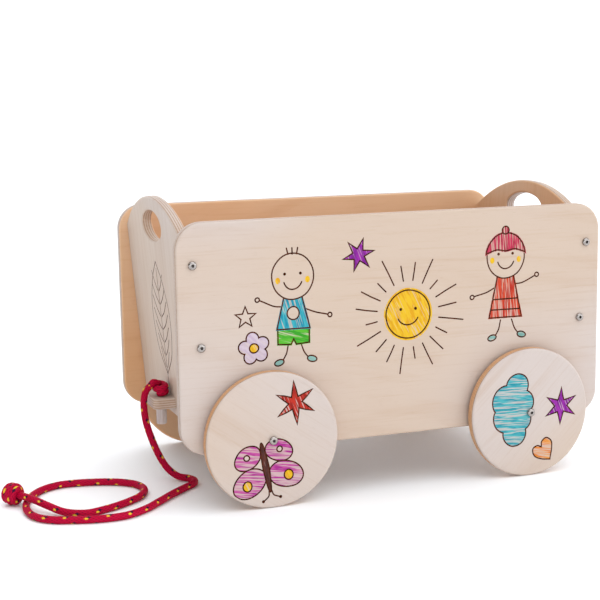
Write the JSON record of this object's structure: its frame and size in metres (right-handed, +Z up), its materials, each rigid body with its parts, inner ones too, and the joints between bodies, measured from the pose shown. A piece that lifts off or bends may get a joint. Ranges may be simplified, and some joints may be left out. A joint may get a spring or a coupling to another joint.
{
  "type": "toy box wagon",
  "caption": "Open plywood toy box on disc wheels with domed, hand-holed end panels and a knotted pull rope at the front.",
  "frame": {"origin": "on the ground under the middle of the wagon's box, halfway between its ends and its sides; the free rope isn't counted", "axes": "+X towards the rear end, -X towards the rope end, -Y is the left side, +Z up; the wheels stand on z = 0"},
  "size_m": [0.6875, 0.3194, 0.3313],
  "materials": {
    "birch_plywood": "clear matt lacquered birch plywood with printed doodles",
    "dowel": "sanded birch dowel",
    "bolt_chrome": "polished chrome plated button heads",
    "zinc_steel": "bright zinc plated",
    "nylon": "natural nylon",
    "rope": "braided red cord with yellow and navy tracer flecks"
  },
  "bodies": {
    "root": {"side_panel_left": "birch_plywood", "side_panel_right": "birch_plywood", "end_panel_front": "birch_plywood", "end_panel_rear": "birch_plywood", "floor_panel": "birch_plywood", "axle_sleeve_front_left": "nylon", "spacer_washer_front_left": "nylon", "axle_bolt_front_left": "bolt_chrome", "tee_nut_front_left": "zinc_steel", "axle_sleeve_front_right": "nylon", "spacer_washer_front_right": "nylon", "axle_bolt_front_right": "bolt_chrome", "tee_nut_front_right": "zinc_steel", "axle_sleeve_rear_left": "nylon", "spacer_washer_rear_left": "nylon", "axle_bolt_rear_left": "bolt_chrome", "tee_nut_rear_left": "zinc_steel", "axle_sleeve_rear_right": "nylon", "spacer_washer_rear_right": "nylon", "axle_bolt_rear_right": "bolt_chrome", "tee_nut_rear_right": "zinc_steel", "panel_bolt_front_left_lower": "bolt_chrome", "barrel_nut_front_left_lower": "zinc_steel", "panel_bolt_front_right_lower": "bolt_chrome", "barrel_nut_front_right_lower": "zinc_steel", "panel_bolt_front_left_upper": "bolt_chrome", "barrel_nut_front_left_upper": "zinc_steel", "panel_bolt_front_right_upper": "bolt_chrome", "barrel_nut_front_right_upper": "zinc_steel", "panel_bolt_rear_left_lower": "bolt_chrome", "barrel_nut_rear_left_lower": "zinc_steel", "panel_bolt_rear_right_lower": "bolt_chrome", "barrel_nut_rear_right_lower": "zinc_steel", "panel_bolt_rear_left_upper": "bolt_chrome", "barrel_nut_rear_left_upper": "zinc_steel", "panel_bolt_rear_right_upper": "bolt_chrome", "barrel_nut_rear_right_upper": "zinc_steel", "tow_knot": "rope", "rope_stopper": "dowel", "tow_rope": "rope", "rope_end_knot": "rope"},
    "wheel_front_left": {"wheel_front_left": "birch_plywood"},
    "wheel_front_right": {"wheel_front_right": "birch_plywood"},
    "wheel_rear_left": {"wheel_rear_left": "birch_plywood"},
    "wheel_rear_right": {"wheel_rear_right": "birch_plywood"}
  },
  "joints": [
    {"name": "front_left_wheel_spin", "type": "hinge", "parent": "root", "child": "wheel_front_left", "pos_m": [-0.157, -0.15, 0.075], "axis": [0, 1, 0], "continuous": true},
    {"name": "front_right_wheel_spin", "type": "hinge", "parent": "root", "child": "wheel_front_right", "pos_m": [-0.157, 0.15, 0.075], "axis": [0, 1, 0], "continuous": true},
    {"name": "rear_left_wheel_spin", "type": "hinge", "parent": "root", "child": "wheel_rear_left", "pos_m": [0.157, -0.15, 0.075], "axis": [0, 1, 0], "continuous": true},
    {"name": "rear_right_wheel_spin", "type": "hinge", "parent": "root", "child": "wheel_rear_right", "pos_m": [0.157, 0.15, 0.075], "axis": [0, 1, 0], "continuous": true}
  ]
}
